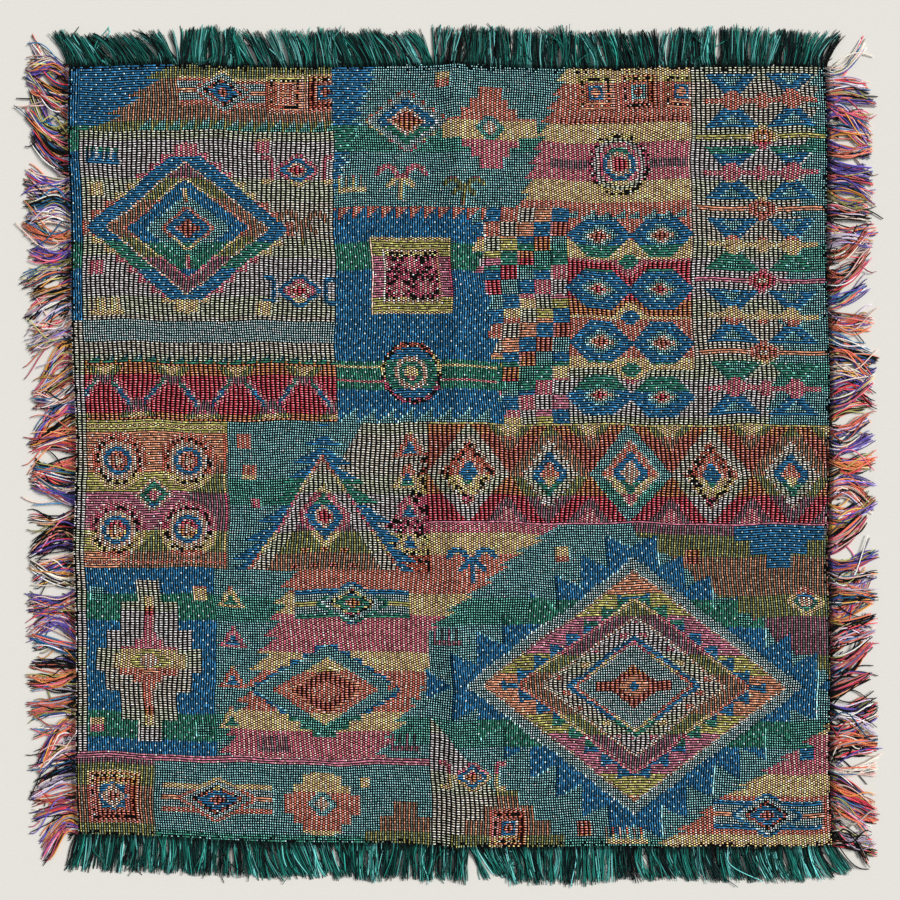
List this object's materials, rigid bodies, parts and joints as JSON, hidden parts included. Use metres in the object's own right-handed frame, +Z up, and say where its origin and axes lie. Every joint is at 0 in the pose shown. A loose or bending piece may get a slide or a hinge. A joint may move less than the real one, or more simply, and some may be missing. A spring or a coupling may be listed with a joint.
{
  "type": "woven placemat",
  "caption": "Square woven placemat, a patchwork of kilim motifs in many yarns, fringed on all sides, lying flat with the creases of its folding.",
  "frame": {"origin": "middle of the whole outline, fringe included, at the level of the table that the mat lies on", "axes": "+Z up, out of the pattern's face; +X to the mat's right-hand side and +Y to its far side, as it is laid and as the picture shows it"},
  "size_m": [0.4706, 0.4708, 0.0053],
  "materials": {
    "woven_cloth": "coarse matt cotton weave in teal, blue, pink, red, gold and black",
    "green_fringe": "loose dark green and teal cotton yarn",
    "mixed_fringe": "loose cotton yarn in pink, orange, blue, violet, cream and black"
  },
  "bodies": {
    "root": {"cloth": "woven_cloth", "fringe_far": "green_fringe", "fringe_near": "green_fringe", "fringe_left": "mixed_fringe", "fringe_right": "mixed_fringe"}
  },
  "joints": []
}
